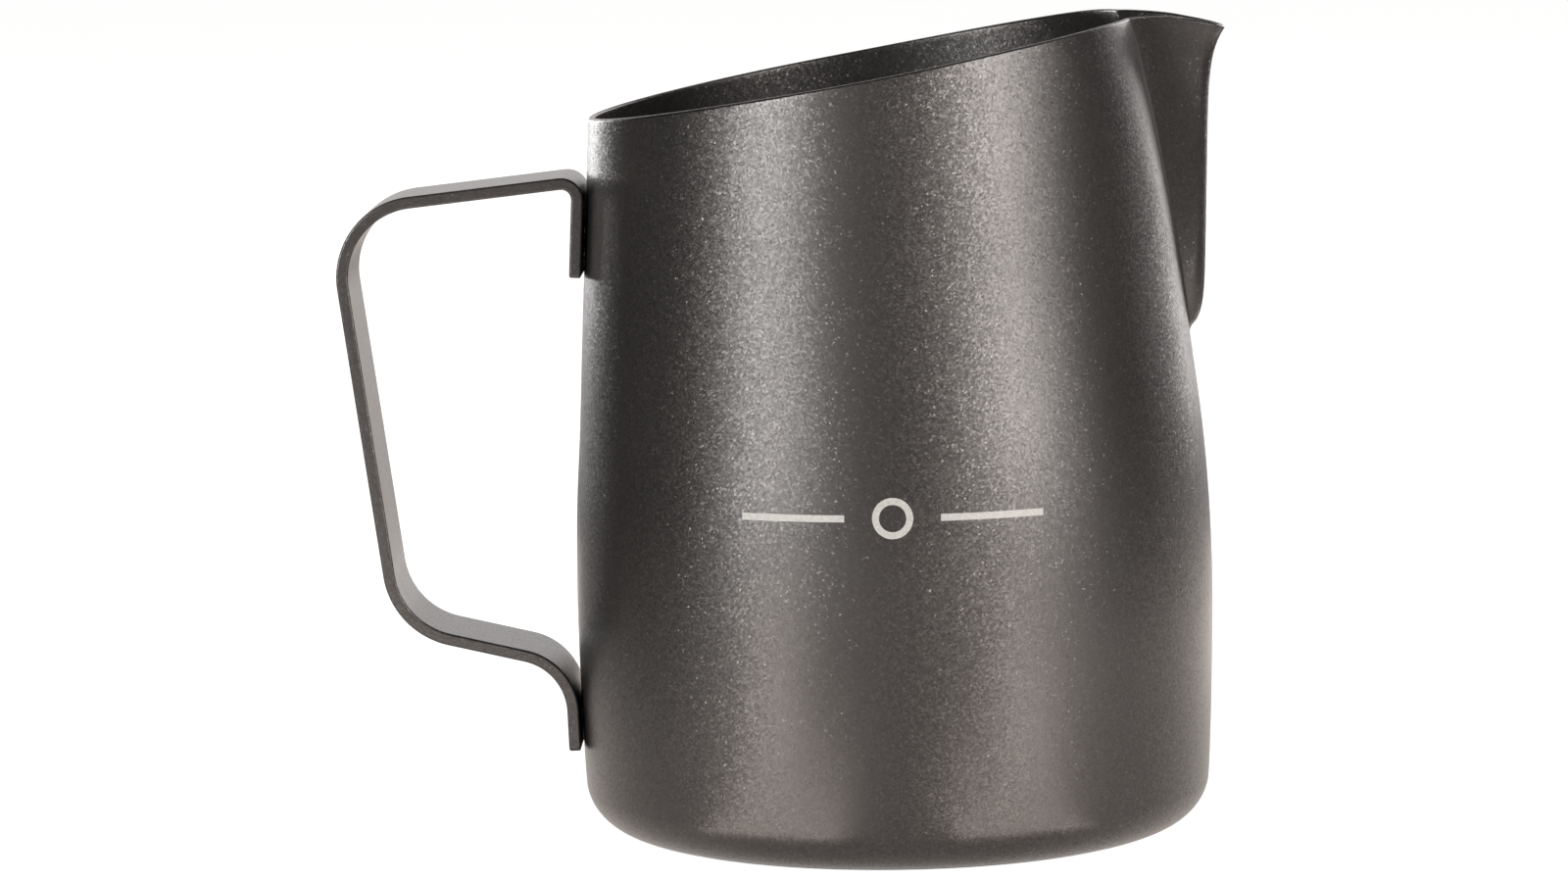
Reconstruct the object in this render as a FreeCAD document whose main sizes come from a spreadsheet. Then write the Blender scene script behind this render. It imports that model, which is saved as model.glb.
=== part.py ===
"""Milk frothing pitcher: drawn steel vessel, pressed V spout, bent strap handle.

Frame: origin at the centre of the flat base, +Z up, the handle towards -X and
the spout towards +X.  Millimetres.
"""
import FreeCAD, Part
import math
import os
import Sketcher
from FreeCAD import Placement, Rotation, Vector

# ---------------------------------------------------------------- driving sizes
SIZES = {
    # sheet and strip
    "wall_thick": (0.9, "coated sheet of the vessel and the spout"),
    "base_corner": (6.5, "outer radius between the base and the wall"),
    "strap_thick": (1.6, "handle strip thickness"),
    "strap_width": (16.7, "handle strip width"),
    "strap_edge": (0.3, "rounding of the strip's long edges"),
    # handle path: corners of the strip's centre line before bending
    "low_tab_end_up": (11.3, "height of the lower tab's free end"),
    "low_tab_bend_up": (22.95, "height of the corner above the lower tab"),
    "grip_low_out": (66.95, "distance of the grip's lower corner from the axis"),
    "grip_low_up": (28.4, "height of the grip's lower corner"),
    "grip_high_out": (74.45, "distance of the grip's upper corner from the axis"),
    "grip_high_up": (84.65, "height of the grip's upper corner"),
    "high_tab_bend_up": (88.2, "height of the corner above the upper tab"),
    "high_tab_end_up": (75.3, "height of the upper tab's free end"),
    "low_tab_radius": (8.1, "centre line bend radius above the lower tab"),
    "grip_low_radius": (10.4, "centre line bend radius below the grip"),
    "grip_high_radius": (10.2, "centre line bend radius above the grip"),
    "high_tab_radius": (2.1, "centre line bend radius above the upper tab"),
    "tab_gap": (0.05, "gap left between a tab and the wall beside its welds"),
    # resistance welds under the tabs
    "weld_size": (1.4, "weld nugget radius"),
    "weld_depth": (0.45, "depth of a nugget in each sheet"),
    "low_weld_up": (12.8, "height of the lower tab's first nugget"),
    "high_weld_up": (78.5, "height of the upper tab's first nugget"),
    "weld_pitch": (3.1, "distance between the two nuggets of a tab"),
    # rim: a slanted cut, rising from the handle to the spout
    "rim_back_out": (60.0, "start of the rim cut, past the handle side"),
    "rim_back_up": (92.75, "rim height at that start"),
    "rim_axis_out": (0.0, "middle of the slanted rim, over the axis"),
    "rim_axis_up": (103.3, "rim height there"),
    "rim_throat_out": (30.0, "where the slanted rim meets the spout's rim"),
    "rim_throat_up": (108.85, "rim height there"),
    "rim_spout_out": (37.8, "middle of the spout's rim"),
    "rim_spout_up": (108.8, "rim height there"),
    "rim_tip_out": (45.5, "pouring tip"),
    "rim_tip_up": (107.3, "height of the pouring tip"),
    "rim_past_out": (54.0, "end of the rim cut, past the tip"),
    "rim_past_up": (104.6, "height of the rim cut there"),
    "rim_block_top": (150.0, "top of the block that makes the rim cut"),
    # spout: creases, keel and mouth
    "spout_root": (66.0, "height where the spout leaves the wall"),
    "crease_root_half": (1.6, "half width between the creases at the root"),
    "crease_spread": (0.255, "growth of that half width per millimetre"),
    "pinch_depth": (1.15, "how far the crease is drawn in, micrometres per square millimetre"),
    "pinch_root": (2.0, "width of the drawn-in wall beside the crease, at the root"),
    "pinch_spread": (0.38, "growth of that width per millimetre"),
    "keel_radius": (3.3, "plan radius of the keel"),
    "mouth_flare": (16.0, "plan curl of the spout's sides at the mouth, degrees"),
    "flare_start": (25.0, "height above the root where that curl starts"),
    "seam_width": (0.5, "width of the dressed butt weld round the spout"),
    "seam_offset": (1.0, "distance of the weld from the crease"),
    # ornament printed on the front of the wall: a ring between two bars
    "print_thick": (0.06, "thickness of the print"),
    "print_up": (47.0, "height of the ornament's middle"),
    "print_stroke": (0.9, "width of the ring's line and of the bars"),
    "print_ring": (2.65, "outer radius of the ring"),
    "print_bar_start": (6.2, "distance of each bar's inner end from the middle"),
    "print_bar_end": (19.4, "distance of each bar's outer end from the middle"),
}

# Side profile of the round wall: height, handle side, spout side (distance from
# the axis).  The belly is round and concentric; above it the spout side leans in.
WALL_STATIONS = [
    (0.0, 42.00, 42.00),
    (12.0, 42.55, 42.55),
    (23.0, 42.88, 42.88),
    (33.0, 43.00, 43.00),
    (44.0, 42.78, 42.62),
    (54.0, 42.19, 41.82),
    (66.0, 41.64, 40.30),
    (78.0, 41.05, 38.95),
    (92.0, 40.37, 37.71),
    (112.0, 39.41, 36.01),
]

# Keel of the spout: height and distance from the axis, from the rounded foot to
# the lip, which turns outwards past the mouth.
KEEL_STATIONS = [
    (67.5, 41.15),
    (69.0, 41.78),
    (71.0, 42.17),
    (74.0, 42.40),
    (80.0, 42.60),
    (90.0, 42.87),
    (98.0, 43.13),
    (102.0, 43.50),
    (104.5, 44.10),
    (106.5, 45.05),
    (108.5, 46.60),
    (111.0, 49.20),
]

# Stops of the handle's path that lie on a tab, whose distance from the axis
# follows from the wall behind it.
TAB_STOPS = ["low_tab_end", "low_tab_bend", "high_tab_bend", "high_tab_end"]

doc = FreeCAD.newDocument("MilkPitcher")


def smooth(stations, column, height):
    """Cubic through the stations (Catmull-Rom), straight past both ends."""
    last = len(stations) - 1
    index = 0
    while index < last - 1 and height > stations[index + 1][0]:
        index += 1

    def slope(i):
        low, high = max(i - 1, 0), min(i + 1, last)
        rise = stations[high][column] - stations[low][column]
        return rise / (stations[high][0] - stations[low][0])

    start, end = stations[index], stations[index + 1]
    span = end[0] - start[0]
    if height < stations[0][0] or height > stations[last][0]:
        edge = 0 if height < stations[0][0] else last
        return stations[edge][column] + slope(edge) * (height - stations[edge][0])
    u = (height - start[0]) / span
    return (
        start[column] * (2 * u**3 - 3 * u**2 + 1)
        + end[column] * (3 * u**2 - 2 * u**3)
        + slope(index) * span * (u**3 - 2 * u**2 + u)
        + slope(index + 1) * span * (u**3 - u**2)
    )


def tab_distance(stop):
    """Distance from the axis of the strip's centre line at a stop on a tab."""
    wall = smooth(WALL_STATIONS, 1, SIZES[stop + "_up"][0])
    return wall + SIZES["tab_gap"][0] + SIZES["strap_thick"][0] / 2


def make_sheet():
    """Put every driving size in the document's spreadsheet under its own name."""
    rows = dict(SIZES)
    for stop in TAB_STOPS:
        rows[stop + "_out"] = (round(tab_distance(stop), 4), "that stop's distance from the axis")
    sizes = doc.addObject("Spreadsheet::Sheet", "Sizes")
    for row, (name, (value, note)) in enumerate(rows.items(), start=1):
        sizes.set("A%d" % row, name)
        sizes.set("B%d" % row, str(value))
        sizes.set("C%d" % row, note)
        sizes.setAlias("B%d" % row, name)
    doc.recompute()
    return sizes


sheet = make_sheet()


def size(name):
    """Read one driving size from the spreadsheet."""
    return float(sheet.get(name))


# ------------------------------------------------------------- surface formulas
def wall_circle(height):
    """Centre and radius of the round wall's level section."""
    handle_side = smooth(WALL_STATIONS, 1, height)
    spout_side = smooth(WALL_STATIONS, 2, height)
    return (spout_side - handle_side) / 2, (spout_side + handle_side) / 2


def crease_point(height):
    """The crease between wall and spout in the level section, on the +Y side."""
    rise = height - size("spout_root")
    centre_x, radius = wall_circle(height)
    half = size("crease_root_half") + size("crease_spread") * rise
    drawn_in = size("pinch_depth") * rise**2 / 1000
    return Vector(centre_x + math.sqrt(radius**2 - half**2) - drawn_in, half, 0)


def unit(vector):
    return Vector(vector).normalize()


def bisect(function, low, high):
    """Root of an increasing function."""
    for _ in range(60):
        middle = (low + high) / 2
        if function(middle) < 0:
            low = middle
        else:
            high = middle
    return (low + high) / 2


def plain_half(height, inset):
    """Half of a round section, split where the spout's edges will start."""
    centre_x, radius = wall_circle(height)
    centre = Vector(centre_x, 0, 0)
    half = size("crease_root_half")
    stops = [half + size("pinch_root"), half, half * 0.55, 0]
    angles = [math.pi] + [math.asin(stop / radius) for stop in stops]
    arcs = []
    for start, end in zip(angles, angles[1:]):
        turns = (start, (start + end) / 2, end)
        arcs.append([centre + Vector(math.cos(a), math.sin(a), 0) * (radius - inset) for a in turns])
    return arcs


def spout_half(height, keel, inset):
    """Half of a section through wall, drawn-in strip, spout side and keel.

    Each of the four arcs is given by start, middle and end.  Inset moves them
    inwards by the sheet's thickness for the inside of the vessel.
    """
    rise = height - size("spout_root")
    centre_x, radius = wall_circle(height)
    centre = Vector(centre_x, 0, 0)
    crease = crease_point(height)

    # the round wall ends where the drawn-in strip begins
    strip = size("pinch_root") + size("pinch_spread") * rise
    angle = math.asin((crease.y + strip) / radius)
    leave_normal = Vector(math.cos(angle), math.sin(angle), 0)
    leave = centre + leave_normal * radius
    middle_angle = (math.pi + angle) / 2
    back = centre - Vector(radius - inset, 0, 0)
    back_middle = centre + Vector(math.cos(middle_angle), math.sin(middle_angle), 0) * (radius - inset)

    # the strip: tangent to the wall, through the crease
    gap = leave - crease
    strip_radius = gap.Length**2 / (2 * gap.dot(leave_normal))
    strip_centre = leave - leave_normal * strip_radius
    strip_end_normal = unit(crease - strip_centre)
    strip_middle_normal = unit(leave_normal + strip_end_normal)

    # the keel's round, met by the side along its own tangent
    keel_radius = min(size("keel_radius"), 0.93 * crease.y)
    keel_centre = Vector(keel - keel_radius, 0, 0)
    mouth = max(0.0, min(1.0, (rise - size("flare_start")) / 16))
    curl = math.radians(1.0 + size("mouth_flare") * mouth)

    def tangent_error(turn):
        touch = keel_centre + Vector(math.cos(turn), math.sin(turn), 0) * keel_radius
        chord = math.atan2(touch.y - crease.y, touch.x - crease.x)
        return turn - math.pi / 2 - chord - curl

    turn = bisect(tangent_error, math.radians(15), math.radians(100))
    touch_normal = Vector(math.cos(turn), math.sin(turn), 0)
    touch = keel_centre + touch_normal * keel_radius
    reach = crease - touch
    side_radius = reach.Length**2 / (2 * reach.dot(touch_normal))
    side_centre = touch + touch_normal * side_radius
    side_start_normal = unit(side_centre - crease)
    side_middle_normal = unit(side_start_normal + touch_normal)
    side_middle = side_centre - side_middle_normal * side_radius

    # the inner crease lies on the corner's bisector
    corner = unit(strip_end_normal + side_start_normal)
    inner_crease = crease - corner * (inset / corner.dot(strip_end_normal))
    half_turn = Vector(math.cos(turn / 2), math.sin(turn / 2), 0)
    leave_in = leave - leave_normal * inset
    touch_in = touch - touch_normal * inset
    return [
        [back, back_middle, leave_in],
        [leave_in, strip_centre + strip_middle_normal * (strip_radius - inset), inner_crease],
        [inner_crease, side_middle - side_middle_normal * inset, touch_in],
        [touch_in, keel_centre + half_turn * (keel_radius - inset), Vector(keel - inset, 0, 0)],
    ]


def section_wire(half, height):
    """Closed level wire from half an outline and its mirror image."""
    lift = Vector(0, 0, height)

    def mirrored(point):
        return Vector(point.x, -point.y, 0)

    full = half + [[mirrored(p) for p in reversed(arc)] for arc in reversed(half)]
    return Part.Wire([Part.Arc(*[p + lift for p in arc]).toShape() for arc in full])


def circle_wire(height, inset):
    centre_x, radius = wall_circle(height)
    circle = Part.Circle(Vector(centre_x, 0, height), Vector(0, 0, 1), radius - inset)
    return Part.Wire([circle.toShape()])


def wall_form(floor, inset):
    """Solid bounded by the round wall, from the floor up to the spout's root."""
    root = size("spout_root")
    heights = [floor] + [row[0] for row in WALL_STATIONS if floor < row[0] < root] + [60.0, root]
    return Part.makeLoft([circle_wire(z, inset) for z in heights], True, False)


def vessel_form(floor, inset):
    """Solid bounded by the wall and spout surfaces, from the floor upwards."""
    root = size("spout_root")
    lower = wall_form(floor, inset)
    upper_wires = [section_wire(plain_half(root, inset), root)]
    for height, keel in KEEL_STATIONS:
        upper_wires.append(section_wire(spout_half(height, keel, inset), height))
    upper = Part.makeLoft(upper_wires, True, False)
    corner = size("base_corner") - inset
    floor_edges = [e for e in lower.Edges if e.BoundBox.ZMax < floor + 0.01]
    lower = lower.makeFillet(corner, floor_edges)
    return lower.fuse(upper)


def wedge_form(grow, root_drop):
    """Wedge that parts the spout from the wall: its faces cross the sheet
    beside the creases, 'grow' outside them, and it starts below the root."""
    inward = 6.0
    reach = 4.0
    wires = []
    for height in (size("spout_root") - root_drop, 72.0, 80.0, 88.0, 96.0, 104.0, 114.0):
        crease = crease_point(height)
        apex = Vector(crease.x - inward, 0, height)
        left = apex + Vector(inward, crease.y + grow, 0) * reach
        right = apex + Vector(inward, -crease.y - grow, 0) * reach
        wires.append(Part.makePolygon([apex, left, right, apex]))
    return Part.makeLoft(wires, True, True)


# ------------------------------------------------------------- document helpers
def feature(name, shape):
    """A shape made with Part's own functions, as an object of the document."""
    thing = doc.addObject("Part::Feature", name)
    thing.Shape = shape
    thing.Placement = Placement()
    return thing


def boolean(kind, name, base, tool):
    thing = doc.addObject("Part::" + kind, name)
    thing.Base = base
    thing.Tool = tool
    return thing


def origin_plane(body, role):
    return [f for f in body.Origin.OriginFeatures if f.Role == role][0]


def attached_sketch(body, role, name):
    sketch = body.newObject("Sketcher::SketchObject", name)
    sketch.AttachmentSupport = (origin_plane(body, role), [""])
    sketch.MapMode = "FlatFace"
    return sketch


def constrain(sketch, name, expression, *spec):
    """Add a dimension and bind it to the spreadsheet."""
    index = sketch.addConstraint(Sketcher.Constraint(*spec))
    sketch.renameConstraint(index, name)
    sketch.setExpression("Constraints." + name, expression)


def pin(sketch, name, geometry, end, place, across, up):
    """Fix one point of a sketch by its two coordinates, bound to the sheet."""
    constrain(sketch, name + "_across", across, "DistanceX", -1, 1, geometry, end, place.x)
    constrain(sketch, name + "_up", up, "DistanceY", -1, 1, geometry, end, place.y)


def end_at(sketch, geometry, place):
    """Which end of an edge lies at a point: 1 its start, 2 its end."""
    return min((1, 2), key=lambda end: (sketch.getPoint(geometry, end) - place).Length)


def join(sketch, first, second, place, kind="Coincident"):
    """Join two edges where they meet at a point."""
    ends = (first, end_at(sketch, first, place), second, end_at(sketch, second, place))
    sketch.addConstraint(Sketcher.Constraint(kind, *ends))


# --------------------------------------------------------------------- the rim
def make_rim_cutter():
    """Block above the rim: a slanted cut that levels out and dips at the spout."""
    body = doc.addObject("PartDesign::Body", "RimCutter")
    sketch = attached_sketch(body, "XZ_Plane", "RimProfile")
    names = ["rim_back", "rim_axis", "rim_throat", "rim_spout", "rim_tip", "rim_past"]
    across = {name: "Sizes." + name + "_out" for name in names}
    across["rim_back"] = "-" + across["rim_back"]
    points = [Vector(size(name + "_out"), size(name + "_up"), 0) for name in names]
    points[0].x = -points[0].x
    back, axis, throat, spout, tip, past = points
    top = size("rim_block_top")
    corners = [tip, past, Vector(past.x, top, 0), Vector(back.x, top, 0), back]

    def pin_stop(index, geometry, end):
        name = names[index]
        pin(sketch, name, geometry, end, points[index], across[name], "Sizes." + name + "_up")

    slant = sketch.addGeometry(Part.Arc(back, axis, throat), False)
    mouth = sketch.addGeometry(Part.Arc(throat, spout, tip), False)
    lines = [Part.LineSegment(*pair) for pair in zip(corners, corners[1:])]
    edges = [sketch.addGeometry(line, False) for line in lines]
    for index, arc in ((1, slant), (3, mouth)):
        mark = sketch.addGeometry(Part.Point(points[index]), True)
        pin_stop(index, mark, 1)
        sketch.addConstraint(Sketcher.Constraint("PointOnObject", mark, 1, arc))
    for index, edge in ((0, slant), (2, slant), (4, mouth), (5, edges[0])):
        pin_stop(index, edge, end_at(sketch, edge, points[index]))
    join(sketch, slant, mouth, throat)
    for first, second, place in zip([mouth] + edges, edges + [slant], corners):
        join(sketch, first, second, place)
    sketch.addConstraint(Sketcher.Constraint("Vertical", edges[1]))
    sketch.addConstraint(Sketcher.Constraint("Horizontal", edges[2]))
    sketch.addConstraint(Sketcher.Constraint("Vertical", edges[3]))
    constrain(sketch, "top", "Sizes.rim_block_top", "DistanceY", -1, 1, edges[2], 1, top)

    pad = body.newObject("PartDesign::Pad", "RimBlock")
    pad.Profile = sketch
    pad.Midplane = True
    pad.setExpression("Length", "3 * Sizes.rim_back_out")
    return body


# ------------------------------------------------------------------- the strap
def bend_ends(before, corner, after, radius):
    """Where a bend of this radius leaves its two straight runs, and its middle."""
    to_before = unit(before - corner)
    to_after = unit(after - corner)
    half = to_before.getAngle(to_after) / 2
    setback = radius / math.tan(half)
    centre = corner + unit(to_before + to_after) * (radius / math.sin(half))
    middle = centre - unit(to_before + to_after) * radius
    return corner + to_before * setback, middle, corner + to_after * setback


def make_strap_path(body):
    """Centre line of the strip: straight runs joined by tangent bends."""
    sketch = attached_sketch(body, "XZ_Plane", "StrapPath")
    stops = ["low_tab_end", "low_tab_bend", "grip_low", "grip_high", "high_tab_bend", "high_tab_end"]
    corners = [Vector(-size(n + "_out"), size(n + "_up"), 0) for n in stops]
    guides = []
    for index in range(5):
        pair = (corners[index], corners[index + 1])
        guides.append(sketch.addGeometry(Part.LineSegment(*pair), True))
        pin(sketch, stops[index], guides[-1], 1, pair[0], "-Sizes." + stops[index] + "_out",
            "Sizes." + stops[index] + "_up")
        if index:
            sketch.addConstraint(Sketcher.Constraint("Coincident", guides[index - 1], 2, guides[index], 1))
    pin(sketch, stops[5], guides[4], 2, corners[5], "-Sizes." + stops[5] + "_out", "Sizes." + stops[5] + "_up")

    radii = ["low_tab_radius", "grip_low_radius", "grip_high_radius", "high_tab_radius"]
    bends = [bend_ends(*corners[i : i + 3], size(radii[i])) for i in range(4)]
    places = [corners[0]] + [p for bend in bends for p in (bend[0], bend[2])] + [corners[5]]
    runs = []
    for index in range(5):
        run = Part.LineSegment(places[2 * index], places[2 * index + 1])
        runs.append(sketch.addGeometry(run, False))
    sketch.addConstraint(Sketcher.Constraint("Coincident", runs[0], 1, guides[0], 1))
    sketch.addConstraint(Sketcher.Constraint("Coincident", runs[4], 2, guides[4], 2))
    for index, (start, middle, end) in enumerate(bends):
        arc = sketch.addGeometry(Part.Arc(start, middle, end), False)
        sketch.addConstraint(Sketcher.Constraint("PointOnObject", runs[index], 2, guides[index]))
        sketch.addConstraint(Sketcher.Constraint("PointOnObject", runs[index + 1], 1, guides[index + 1]))
        join(sketch, runs[index], arc, start, "Tangent")
        join(sketch, arc, runs[index + 1], end, "Tangent")
        constrain(sketch, radii[index], "Sizes." + radii[index], "Radius", arc, size(radii[index]))
    return sketch


def make_strap_section(body):
    """Rounded rectangle of the strip, level at the lower tab's free end."""
    sketch = attached_sketch(body, "XY_Plane", "StrapSection")
    sketch.setExpression("AttachmentOffset.Base.x", "-Sizes.low_tab_end_out")
    sketch.setExpression("AttachmentOffset.Base.z", "Sizes.low_tab_end_up")
    half_thick = size("strap_thick") / 2
    half_width = size("strap_width") / 2
    edge = size("strap_edge")
    turn = edge * (1 - math.sqrt(0.5))
    sides = []
    arcs = []
    for x_sign, y_sign in ((1, 1), (-1, 1), (-1, -1), (1, -1)):
        outer = Vector(x_sign * half_thick, y_sign * (half_width - edge), 0)
        inner = Vector(x_sign * (half_thick - edge), y_sign * half_width, 0)
        middle = Vector(x_sign * (half_thick - turn), y_sign * (half_width - turn), 0)
        ends = (outer, inner) if x_sign == y_sign else (inner, outer)
        arcs.append((ends[0], middle, ends[1]))
    for index, arc in enumerate(arcs):
        following = arcs[(index + 1) % 4]
        sides.append((sketch.addGeometry(Part.Arc(*arc), False), arc[2], following[0]))
    flats = [sketch.addGeometry(Part.LineSegment(start, end), False) for _, start, end in sides]
    for index, flat in enumerate(flats):
        join(sketch, sides[index][0], flat, sides[index][1], "Tangent")
        join(sketch, flat, sides[(index + 1) % 4][0], sides[index][2], "Tangent")
    sketch.addConstraint(Sketcher.Constraint("Horizontal", flats[0]))
    sketch.addConstraint(Sketcher.Constraint("Vertical", flats[1]))
    for index in (1, 2, 3):
        sketch.addConstraint(Sketcher.Constraint("Equal", sides[0][0], sides[index][0]))
    constrain(sketch, "edge", "Sizes.strap_edge", "Radius", sides[0][0], edge)
    thick = "Sizes.strap_thick / 2"
    width = "Sizes.strap_width / 2"
    constrain(sketch, "back", thick, "DistanceX", -1, 1, flats[3], 1, half_thick)
    constrain(sketch, "front", thick, "DistanceX", flats[1], 1, -1, 1, half_thick)
    constrain(sketch, "left", width, "DistanceY", -1, 1, flats[0], 1, half_width)
    constrain(sketch, "right", width, "DistanceY", flats[2], 1, -1, 1, half_width)
    return sketch


def make_strap():
    """The handle: one strip, bent from the lower tab round the grip to the upper tab."""
    body = doc.addObject("PartDesign::Body", "StrapBody")
    path = make_strap_path(body)
    section = make_strap_section(body)
    doc.recompute()
    pipe = body.newObject("PartDesign::AdditivePipe", "BentStrip")
    pipe.Profile = section
    pipe.Spine = path
    pipe.Mode = "Binormal"
    pipe.Binormal = Vector(0, 1, 0)
    return body


# ------------------------------------------------------------------- the welds
def make_nuggets(name, first_up):
    """Two weld nuggets in line, each reaching from the tab into the wall."""
    nuggets = []
    for index in range(2):
        nugget = doc.addObject("Part::Cylinder", "%s_%d" % (name, index + 1))
        up = "Sizes.%s + %d * Sizes.weld_pitch" % (first_up, index)
        wall = smooth(WALL_STATIONS, 1, size(first_up) + index * size("weld_pitch"))
        nugget.Placement = Placement(Vector(), Rotation(Vector(0, 1, 0), 90))
        nugget.setExpression("Radius", "Sizes.weld_size")
        nugget.setExpression("Height", "Sizes.tab_gap + 2 * Sizes.weld_depth")
        nugget.setExpression("Placement.Base.x", "-(%.4f + Sizes.tab_gap + Sizes.weld_depth)" % wall)
        nugget.setExpression("Placement.Base.z", up)
        nuggets.append(nugget)
    group = doc.addObject("Part::Compound", name)
    group.Links = nuggets
    return group


# ------------------------------------------------------------------- the print
def make_print(outside):
    """Thin ornament on the front of the wall: a ring between two bars."""
    outer = doc.addObject("Part::Cylinder", "RingOutside")
    inner = doc.addObject("Part::Cylinder", "RingInside")
    outer.setExpression("Radius", "Sizes.print_ring")
    inner.setExpression("Radius", "Sizes.print_ring - Sizes.print_stroke")
    for cylinder in (outer, inner):
        cylinder.Placement = Placement(Vector(0, -30, 0), Rotation(Vector(1, 0, 0), 90))
        cylinder.setExpression("Placement.Base.z", "Sizes.print_up")
        cylinder.Height = 20
    bars = []
    for name, start in (("LeftBar", "-Sizes.print_bar_end"), ("RightBar", "Sizes.print_bar_start")):
        bar = doc.addObject("Part::Box", name)
        bar.Placement.Base = Vector(0, -50, 0)
        bar.Width = 20
        bar.setExpression("Placement.Base.x", start)
        bar.setExpression("Placement.Base.z", "Sizes.print_up - Sizes.print_stroke / 2")
        bar.setExpression("Length", "Sizes.print_bar_end - Sizes.print_bar_start")
        bar.setExpression("Height", "Sizes.print_stroke")
        bars.append(bar)
    pattern = doc.addObject("Part::MultiFuse", "PrintPattern")
    pattern.Shapes = [boolean("Cut", "PrintRing", outer, inner)] + bars
    surface = feature("PrintSurface", wall_form(0.0, -size("print_thick")))
    return boolean("Cut", "Print", boolean("Common", "PrintSlab", surface, pattern), outside)


# ---------------------------------------------------------------- the assembly
def build():
    """Make every piece, and return the objects to export."""
    wall = size("wall_thick")
    outside = feature("OuterForm", vessel_form(0.0, 0.0))
    inside = feature("InnerForm", vessel_form(wall, wall))
    shell = boolean("Cut", "Shell", outside, inside)
    trimmed = boolean("Cut", "TrimmedShell", shell, make_rim_cutter())

    # the spout piece, and round it the seam that joins it to the wall
    gap = size("seam_offset")
    spout_wedge = feature("SpoutWedge", wedge_form(gap, 0.5 * gap))
    reach = gap + size("seam_width")
    seam_wedge = feature("SeamWedge", wedge_form(reach, 0.5 * gap + size("seam_width")))
    spout = boolean("Common", "SpoutPiece", trimmed, spout_wedge)
    seam_ring = boolean("Cut", "SeamWedgeRing", seam_wedge, spout_wedge)
    seam = boolean("Common", "SeamPiece", trimmed, seam_ring)
    body = boolean("Cut", "OpenShell", trimmed, seam_wedge)

    low_welds = make_nuggets("LowWelds", "low_weld_up")
    high_welds = make_nuggets("HighWelds", "high_weld_up")
    strap = make_strap()
    for name, welds in (("Low", low_welds), ("High", high_welds)):
        strap = boolean("Cut", "Strap" + name, strap, welds)
        body = boolean("Cut", "Vessel" + name, body, welds)
    ornament = make_print(outside)
    doc.recompute()

    return {
        "vessel": body,
        "spout": spout,
        "spout_weld_seam": seam,
        "handle_strap": strap,
        "lower_handle_welds": low_welds,
        "upper_handle_welds": high_welds,
        "front_print": ornament,
    }


def check_and_export(pieces):
    """Stop on any failed object or shape, then write one file for each piece."""
    for thing in doc.Objects:
        if "Invalid" in thing.State or "Error" in thing.State:
            raise RuntimeError("%s failed: %s" % (thing.Name, thing.State))
    os.makedirs("parts", exist_ok=True)
    for name, piece in pieces.items():
        piece.Label = name
        shape = piece.Shape
        if shape.isNull() or not shape.isValid():
            raise RuntimeError(name + " has no valid shape")
        print("%-20s %d solid(s) %10.1f mm3" % (name, len(shape.Solids), shape.Volume))
        shape.exportStep("parts/%s.step" % name)


check_and_export(build())
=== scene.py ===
"""Looks of the milk frothing pitcher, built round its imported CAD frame.

The vessel and its spout are one curved sheet, so they are made here as one fine
grid of points (rows up the wall, columns round it) and then parted into the
frame's pieces along the weld.  Sizes are in millimetres until a mesh is made.
"""
import math

import bpy
import numpy as np
from mathutils import Matrix, Vector


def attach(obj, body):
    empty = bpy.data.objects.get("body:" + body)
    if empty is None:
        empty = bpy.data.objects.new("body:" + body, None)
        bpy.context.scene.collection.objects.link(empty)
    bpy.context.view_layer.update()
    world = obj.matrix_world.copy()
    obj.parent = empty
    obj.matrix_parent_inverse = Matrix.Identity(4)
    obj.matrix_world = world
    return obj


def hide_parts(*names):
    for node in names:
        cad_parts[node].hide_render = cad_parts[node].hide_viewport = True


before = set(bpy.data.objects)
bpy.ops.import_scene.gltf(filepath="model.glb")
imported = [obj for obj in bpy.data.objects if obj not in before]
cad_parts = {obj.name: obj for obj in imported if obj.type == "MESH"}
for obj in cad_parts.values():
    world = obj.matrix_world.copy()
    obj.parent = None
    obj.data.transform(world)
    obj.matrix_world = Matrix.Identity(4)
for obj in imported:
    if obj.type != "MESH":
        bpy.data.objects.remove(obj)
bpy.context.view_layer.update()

MM = 0.001

# ------------------------------------------------------------------ main sizes
SHEET = 0.9              # thickness of the vessel's sheet
BASE_RADIUS = 42.0       # of the wall where it meets the base
BASE_CORNER = 6.5        # outer radius between base and wall
EDGE = 0.35              # height of the rounded rim edge

# spout; a rise is a height above its root
ROOT = 66.0              # height where the spout leaves the wall
CREASE_HALF = 1.6        # half width between the creases at the root
CREASE_SPREAD = 0.255    # growth of that half width per millimetre of rise
CREASE_DRAWN = 1.15e-3   # drawing in of the crease, per rise squared
CREASE_ROUND = 0.4       # reach of the crease's rounding along each side
STRIP_ROOT = 2.0         # width of the drawn-in wall beside the crease, at the root
STRIP_SPREAD = 0.38      # growth of that width per millimetre of rise
KEEL_RADIUS = 3.3        # plan radius of the keel
SIDE_CURL, MOUTH_CURL = 1, 16      # plan curl of the sides in degrees: everywhere, at the lip
FLARE_START, FLARE_RUN = 25, 16    # rise where the lip's curl starts, and its run
SEAM_FOOT = 65.0         # height of the weld's lower end
SEAM_NEAR, SEAM_FAR = 1.0, 1.5     # the weld's distance from the crease
SEAM_DIP = 0.03          # depth of the line along the dressed weld

# side profile: height, handle side, spout side
WALL = [(0, 42.0, 42.0), (12, 42.55, 42.55), (23, 42.88, 42.88), (33, 43.0, 43.0),
        (44, 42.78, 42.62), (54, 42.19, 41.82), (66, 41.64, 40.30), (78, 41.05, 38.95),
        (92, 40.37, 37.71), (112, 39.41, 36.01)]
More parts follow.
